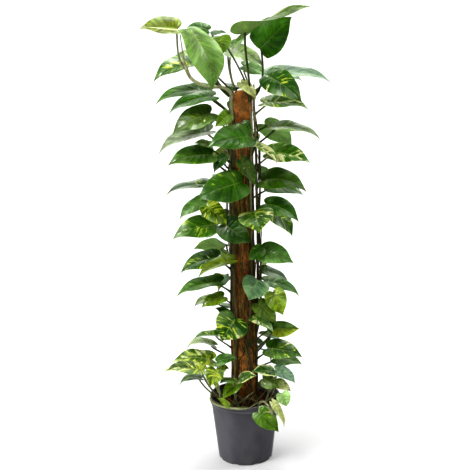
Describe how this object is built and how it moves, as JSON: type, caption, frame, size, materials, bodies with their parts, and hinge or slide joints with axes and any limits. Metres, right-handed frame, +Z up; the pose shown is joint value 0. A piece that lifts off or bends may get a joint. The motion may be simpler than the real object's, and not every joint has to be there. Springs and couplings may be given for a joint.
{
  "type": "potted golden pothos",
  "caption": "Tall variegated pothos vines climbing a coir-covered pole that stands in soil in a dark grey plastic grow pot.",
  "frame": {"origin": "centre of the pot's flat underside", "axes": "+Z up along the pole, -Y towards the viewer of the picture, +X to the viewer's right"},
  "size_m": [0.6099, 0.3817, 1.5272],
  "materials": {
    "pot_plastic": "satin dark grey moulded plastic",
    "soil": "crumbly dark brown potting mix",
    "stake_wood": "plain sawn wood",
    "coir": "rough red-brown coconut fibre",
    "leaf": "waxy green leaf with yellow and cream variegation"
  },
  "bodies": {
    "root": {"pot": "pot_plastic", "soil": "soil", "pole_stake": "stake_wood", "coir_sleeve": "coir", "vine_right": "leaf", "vine_front_right": "leaf", "vine_front_left": "leaf", "vine_left": "leaf", "vine_back_left": "leaf", "vine_back_right": "leaf", "shoot_left": "leaf", "shoot_rim": "leaf", "shoot_front": "leaf", "shoot_right": "leaf", "shoot_runner": "leaf"}
  },
  "joints": []
}
